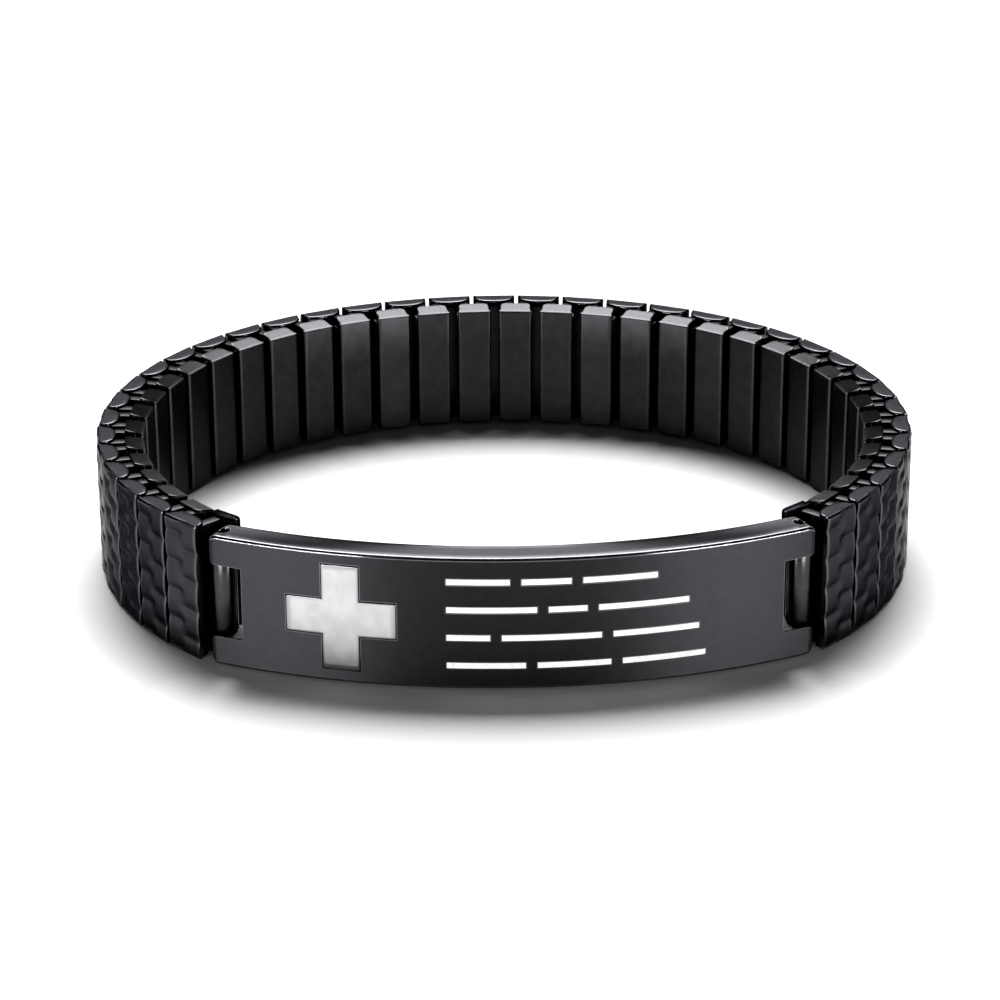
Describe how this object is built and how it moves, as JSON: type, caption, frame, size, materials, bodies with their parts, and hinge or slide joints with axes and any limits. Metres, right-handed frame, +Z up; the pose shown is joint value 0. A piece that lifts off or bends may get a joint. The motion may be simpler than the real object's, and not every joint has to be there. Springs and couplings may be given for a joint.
{
  "type": "medical alert bracelet",
  "caption": "Closed expansion-band bracelet standing on its lower edge: curved identity plate with a raised cross and engraved dashes, hinged to two rows of stapled metal links.",
  "frame": {"origin": "middle of the bracelet's footprint, on the surface it stands on", "axes": "+X to the plate's right end seen from the front, +Z up along the loop's axis; the plate faces -Y"},
  "size_m": [0.0718, 0.0656, 0.012],
  "materials": {
    "plate_steel": "black-coated stainless steel, fine satin",
    "hammered_steel": "black-coated stainless steel, hammered, satin gloss",
    "inner_steel": "black-coated stainless steel, brushed along the band",
    "black_steel": "black-coated stainless steel, glossy",
    "bare_steel": "worn dark steel",
    "polished_steel": "polished, bright",
    "white_fill": "white enamel fill, matt"
  },
  "bodies": {
    "root": {"id_plate": "plate_steel", "emblem_cross": "polished_steel", "engraved_dashes": "white_fill", "hinge_pin_left": "bare_steel", "hinge_pin_right": "bare_steel", "end_link_left": "black_steel", "end_link_right": "black_steel", "inner_links": "inner_steel", "staples_upper": "bare_steel", "staples_lower": "bare_steel", "outer_link_01": "hammered_steel", "outer_link_02": "hammered_steel", "outer_link_03": "hammered_steel", "outer_link_04": "hammered_steel", "outer_link_05": "hammered_steel", "outer_link_06": "hammered_steel", "outer_link_07": "hammered_steel", "outer_link_08": "hammered_steel", "outer_link_09": "hammered_steel", "outer_link_10": "hammered_steel", "outer_link_11": "hammered_steel", "outer_link_12": "hammered_steel", "outer_link_13": "hammered_steel", "outer_link_14": "hammered_steel", "outer_link_15": "hammered_steel", "outer_link_16": "hammered_steel", "outer_link_17": "hammered_steel", "outer_link_18": "hammered_steel", "outer_link_19": "hammered_steel", "outer_link_20": "hammered_steel", "outer_link_21": "hammered_steel", "outer_link_22": "hammered_steel", "outer_link_23": "hammered_steel", "outer_link_24": "hammered_steel", "outer_link_25": "hammered_steel", "outer_link_26": "hammered_steel", "outer_link_27": "hammered_steel", "outer_link_28": "hammered_steel", "outer_link_29": "hammered_steel", "outer_link_30": "hammered_steel", "outer_link_31": "hammered_steel", "outer_link_32": "hammered_steel", "outer_link_33": "hammered_steel", "outer_link_34": "hammered_steel", "outer_link_35": "hammered_steel", "outer_link_36": "hammered_steel", "outer_link_37": "hammered_steel"}
  },
  "joints": []
}
